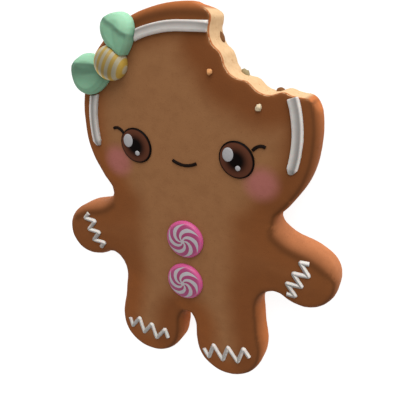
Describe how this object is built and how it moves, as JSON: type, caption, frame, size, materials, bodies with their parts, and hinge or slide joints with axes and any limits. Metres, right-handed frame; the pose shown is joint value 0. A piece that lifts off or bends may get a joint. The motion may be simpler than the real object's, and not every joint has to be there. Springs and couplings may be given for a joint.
{
  "type": "gingerbread man cookie",
  "caption": "A bitten gingerbread man cookie lying on its back, with piped icing, an iced face, swirled sweets and fondant leaves round a striped ball",
  "frame": {"origin": "Under the middle of the whole figure, on the surface that the cookie's flat back rests on", "axes": "+Y runs to the crown of the head, +Z out of the decorated front, and +X to the viewer's right"},
  "size_m": [0.096, 0.119, 0.0174],
  "materials": {
    "gingerbread": "matt baked gingerbread",
    "white_icing": "satin royal icing",
    "brown_icing": "glossy brown icing",
    "dark_icing": "satin dark icing",
    "pink_candy": "glossy boiled sugar",
    "green_fondant": "soft matt fondant",
    "yellow_candy": "glossy boiled sugar"
  },
  "bodies": {
    "root": {"cookie": "gingerbread", "icing_head_top": "white_icing", "icing_head_left": "white_icing", "icing_head_right": "white_icing", "icing_arm_left": "white_icing", "icing_arm_right": "white_icing", "icing_leg_left": "white_icing", "icing_leg_right": "white_icing", "glint_large_left": "white_icing", "glint_large_right": "white_icing", "glint_small_left": "white_icing", "glint_small_right": "white_icing", "eye_left": "brown_icing", "eye_right": "brown_icing", "lash_left": "dark_icing", "lash_right": "dark_icing", "mouth": "dark_icing", "candy_upper": "pink_candy", "candy_lower": "pink_candy", "candy_ball": "yellow_candy", "leaf_upper": "green_fondant", "leaf_lower": "green_fondant"}
  },
  "joints": []
}
